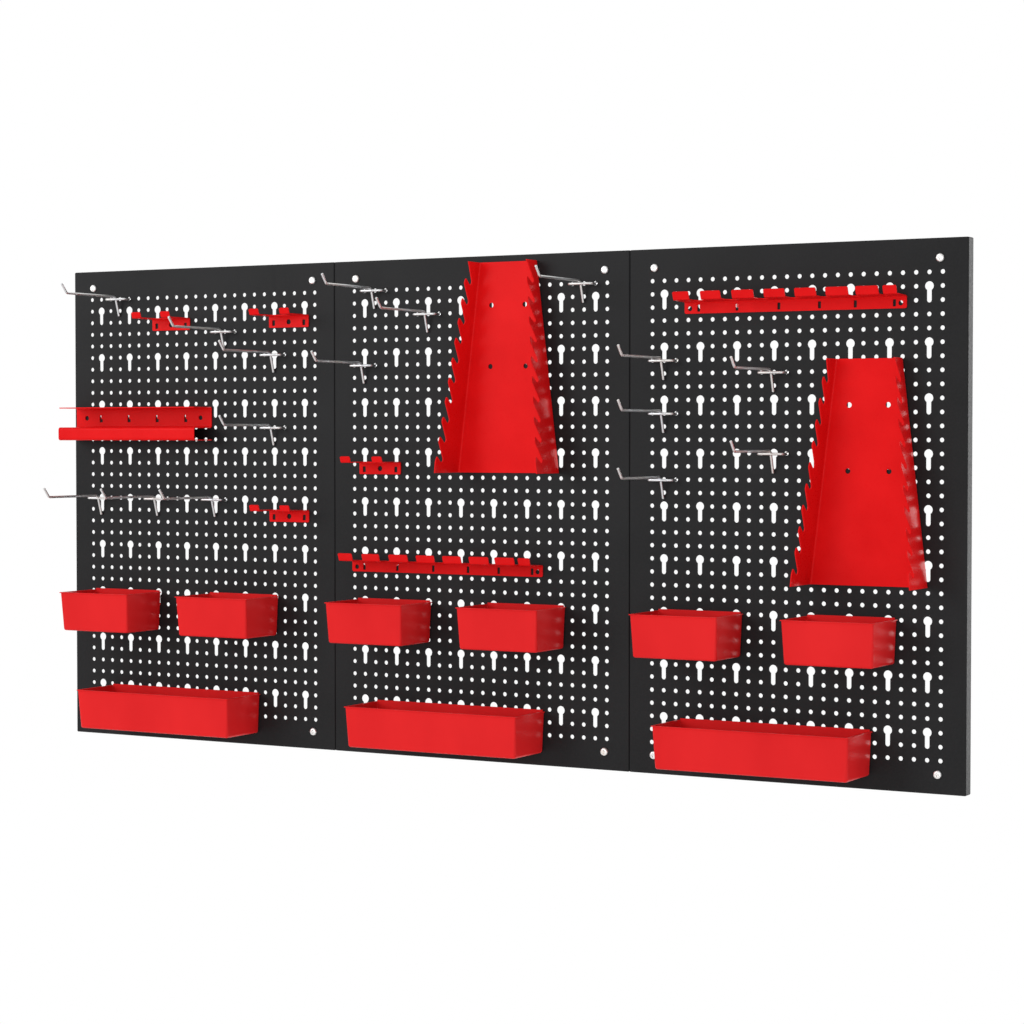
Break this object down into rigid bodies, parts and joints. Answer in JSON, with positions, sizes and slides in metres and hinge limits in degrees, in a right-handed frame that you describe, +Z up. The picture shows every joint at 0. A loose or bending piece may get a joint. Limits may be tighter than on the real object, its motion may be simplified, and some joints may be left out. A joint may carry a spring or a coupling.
{
  "type": "pegboard tool wall",
  "caption": "Wall-hung perforated steel board in side-by-side pans, carrying wire hooks, open bins, spanner racks, tool holders and a shelf.",
  "frame": {"origin": "on the wall plane, behind the centre of the middle panel", "axes": "+X along the board to its right as seen from the front, +Y into the wall, +Z up"},
  "size_m": [1.208, 0.1594, 0.5974],
  "materials": {
    "board_coat": "satin dark grey powder coat",
    "screw_zinc": "bright zinc",
    "hook_zinc": "bright zinc wire",
    "rack_coat": "red semi-gloss powder coat",
    "bin_plastic": "red moulded plastic"
  },
  "bodies": {
    "board": {"panel_left_face": "board_coat", "panel_left_rim": "board_coat", "wall_screws_left": "screw_zinc", "panel_centre_face": "board_coat", "panel_centre_rim": "board_coat", "wall_screws_centre": "screw_zinc", "panel_right_face": "board_coat", "panel_right_rim": "board_coat", "wall_screws_right": "screw_zinc"},
    "hook_01": {"hook_01": "hook_zinc"},
    "hook_02": {"hook_02": "hook_zinc"},
    "hook_03": {"hook_03": "hook_zinc"},
    "hook_04": {"hook_04": "hook_zinc"},
    "hook_05": {"hook_05": "hook_zinc"},
    "hook_06": {"hook_06": "hook_zinc"},
    "hook_07": {"hook_07": "hook_zinc"},
    "hook_08": {"hook_08": "hook_zinc"},
    "hook_09": {"hook_09": "hook_zinc"},
    "hook_10": {"hook_10": "hook_zinc"},
    "hook_11": {"hook_11": "hook_zinc"},
    "hook_12": {"hook_12": "hook_zinc"},
    "hook_13": {"hook_13": "hook_zinc"},
    "hook_14": {"hook_14": "hook_zinc"},
    "hook_15": {"hook_15": "hook_zinc"},
    "hook_16": {"hook_16": "hook_zinc"},
    "fork_holder_01": {"fork_holder_01": "rack_coat"},
    "fork_holder_02": {"fork_holder_02": "rack_coat"},
    "fork_holder_03": {"fork_holder_03": "rack_coat"},
    "fork_holder_04": {"fork_holder_04": "rack_coat"},
    "long_holder_01": {"long_holder_01": "rack_coat"},
    "long_holder_02": {"long_holder_02": "rack_coat"},
    "shelf": {"shelf": "rack_coat"},
    "spanner_rack_01": {"spanner_rack_01_plate": "rack_coat", "spanner_rack_01_left_flange": "rack_coat", "spanner_rack_01_right_flange": "rack_coat"},
    "spanner_rack_02": {"spanner_rack_02_plate": "rack_coat", "spanner_rack_02_left_flange": "rack_coat", "spanner_rack_02_right_flange": "rack_coat"},
    "small_bin_01": {"small_bin_01": "bin_plastic"},
    "small_bin_02": {"small_bin_02": "bin_plastic"},
    "small_bin_03": {"small_bin_03": "bin_plastic"},
    "small_bin_04": {"small_bin_04": "bin_plastic"},
    "small_bin_05": {"small_bin_05": "bin_plastic"},
    "small_bin_06": {"small_bin_06": "bin_plastic"},
    "long_bin_01": {"long_bin_01": "bin_plastic"},
    "long_bin_02": {"long_bin_02": "bin_plastic"},
    "long_bin_03": {"long_bin_03": "bin_plastic"}
  },
  "joints": [
    {"name": "hook_01_swing", "type": "hinge", "parent": "board", "child": "hook_01", "pos_m": [-0.53027, -0.0145, 0.2648], "axis": [-1, 0, 0], "range_deg": [0, 70]},
    {"name": "hook_02_swing", "type": "hinge", "parent": "board", "child": "hook_02", "pos_m": [-0.36527, -0.0145, 0.2198], "axis": [-1, 0, 0], "range_deg": [0, 70]},
    {"name": "hook_03_swing", "type": "hinge", "parent": "board", "child": "hook_03", "pos_m": [-0.29027, -0.0145, 0.1898], "axis": [-1, 0, 0], "range_deg": [0, 38]},
    {"name": "hook_04_swing", "type": "hinge", "parent": "board", "child": "hook_04", "pos_m": [-0.29027, -0.0145, 0.0998], "axis": [-1, 0, 0], "range_deg": [0, 38]},
    {"name": "hook_05_swing", "type": "hinge", "parent": "board", "child": "hook_05", "pos_m": [-0.56027, -0.0145, 0.0098], "axis": [-1, 0, 0], "range_deg": [0, 55]},
    {"name": "hook_06_swing", "type": "hinge", "parent": "board", "child": "hook_06", "pos_m": [-0.47027, -0.0145, 0.0098], "axis": [-1, 0, 0], "range_deg": [0, 55]},
    {"name": "hook_07_swing", "type": "hinge", "parent": "board", "child": "hook_07", "pos_m": [-0.38027, -0.0145, 0.0098], "axis": [-1, 0, 0], "range_deg": [0, 70]},
    {"name": "hook_08_swing", "type": "hinge", "parent": "board", "child": "hook_08", "pos_m": [-0.1425, -0.0145, 0.2648], "axis": [-1, 0, 0], "range_deg": [0, 70]},
    {"name": "hook_09_swing", "type": "hinge", "parent": "board", "child": "hook_09", "pos_m": [-0.0675, -0.0145, 0.2348], "axis": [-1, 0, 0], "range_deg": [0, 70]},
    {"name": "hook_10_swing", "type": "hinge", "parent": "board", "child": "hook_10", "pos_m": [-0.1575, -0.0145, 0.1748], "axis": [-1, 0, 0], "range_deg": [0, 70]},
    {"name": "hook_11_swing", "type": "hinge", "parent": "board", "child": "hook_11", "pos_m": [0.1425, -0.0145, 0.2648], "axis": [-1, 0, 0], "range_deg": [0, 70]},
    {"name": "hook_12_swing", "type": "hinge", "parent": "board", "child": "hook_12", "pos_m": [0.24527, -0.0145, 0.1748], "axis": [-1, 0, 0], "range_deg": [0, 70]},
    {"name": "hook_13_swing", "type": "hinge", "parent": "board", "child": "hook_13", "pos_m": [0.24527, -0.0145, 0.1148], "axis": [-1, 0, 0], "range_deg": [0, 20]},
    {"name": "hook_14_swing", "type": "hinge", "parent": "board", "child": "hook_14", "pos_m": [0.24527, -0.0145, 0.0398], "axis": [-1, 0, 0], "range_deg": [0, 28]},
    {"name": "hook_15_swing", "type": "hinge", "parent": "board", "child": "hook_15", "pos_m": [0.38027, -0.0145, 0.1598], "axis": [-1, 0, 0], "range_deg": [0, 58]},
    {"name": "hook_16_swing", "type": "hinge", "parent": "board", "child": "hook_16", "pos_m": [0.38027, -0.0145, 0.0698], "axis": [-1, 0, 0], "range_deg": [0, 38]},
    {"name": "fork_holder_01_lift", "type": "slide", "parent": "board", "child": "fork_holder_01", "axis": [0, 0, 1], "range_m": [0, 0.006]},
    {"name": "fork_holder_02_lift", "type": "slide", "parent": "board", "child": "fork_holder_02", "axis": [0, 0, 1], "range_m": [0, 0.006]},
    {"name": "fork_holder_03_lift", "type": "slide", "parent": "board", "child": "fork_holder_03", "axis": [0, 0, 1], "range_m": [0, 0.006]},
    {"name": "fork_holder_04_lift", "type": "slide", "parent": "board", "child": "fork_holder_04", "axis": [0, 0, 1], "range_m": [0, 0.006]},
    {"name": "long_holder_01_lift", "type": "slide", "parent": "board", "child": "long_holder_01", "axis": [0, 0, 1], "range_m": [0, 0.006]},
    {"name": "long_holder_02_lift", "type": "slide", "parent": "board", "child": "long_holder_02", "axis": [0, 0, 1], "range_m": [0, 0.006]},
    {"name": "shelf_lift", "type": "slide", "parent": "board", "child": "shelf", "axis": [0, 0, 1], "range_m": [0, 0.006]},
    {"name": "spanner_rack_01_lift", "type": "slide", "parent": "board", "child": "spanner_rack_01", "axis": [0, 0, 1], "range_m": [0, 0.006]},
    {"name": "spanner_rack_02_lift", "type": "slide", "parent": "board", "child": "spanner_rack_02", "axis": [0, 0, 1], "range_m": [0, 0.006]},
    {"name": "small_bin_01_lift", "type": "slide", "parent": "board", "child": "small_bin_01", "axis": [0, 0, 1], "range_m": [0, 0.006]},
    {"name": "small_bin_02_lift", "type": "slide", "parent": "board", "child": "small_bin_02", "axis": [0, 0, 1], "range_m": [0, 0.006]},
    {"name": "small_bin_03_lift", "type": "slide", "parent": "board", "child": "small_bin_03", "axis": [0, 0, 1], "range_m": [0, 0.006]},
    {"name": "small_bin_04_lift", "type": "slide", "parent": "board", "child": "small_bin_04", "axis": [0, 0, 1], "range_m": [0, 0.006]},
    {"name": "small_bin_05_lift", "type": "slide", "parent": "board", "child": "small_bin_05", "axis": [0, 0, 1], "range_m": [0, 0.006]},
    {"name": "small_bin_06_lift", "type": "slide", "parent": "board", "child": "small_bin_06", "axis": [0, 0, 1], "range_m": [0, 0.006]},
    {"name": "long_bin_01_lift", "type": "slide", "parent": "board", "child": "long_bin_01", "axis": [0, 0, 1], "range_m": [0, 0.006]},
    {"name": "long_bin_02_lift", "type": "slide", "parent": "board", "child": "long_bin_02", "axis": [0, 0, 1], "range_m": [0, 0.006]},
    {"name": "long_bin_03_lift", "type": "slide", "parent": "board", "child": "long_bin_03", "axis": [0, 0, 1], "range_m": [0, 0.006]}
  ]
}
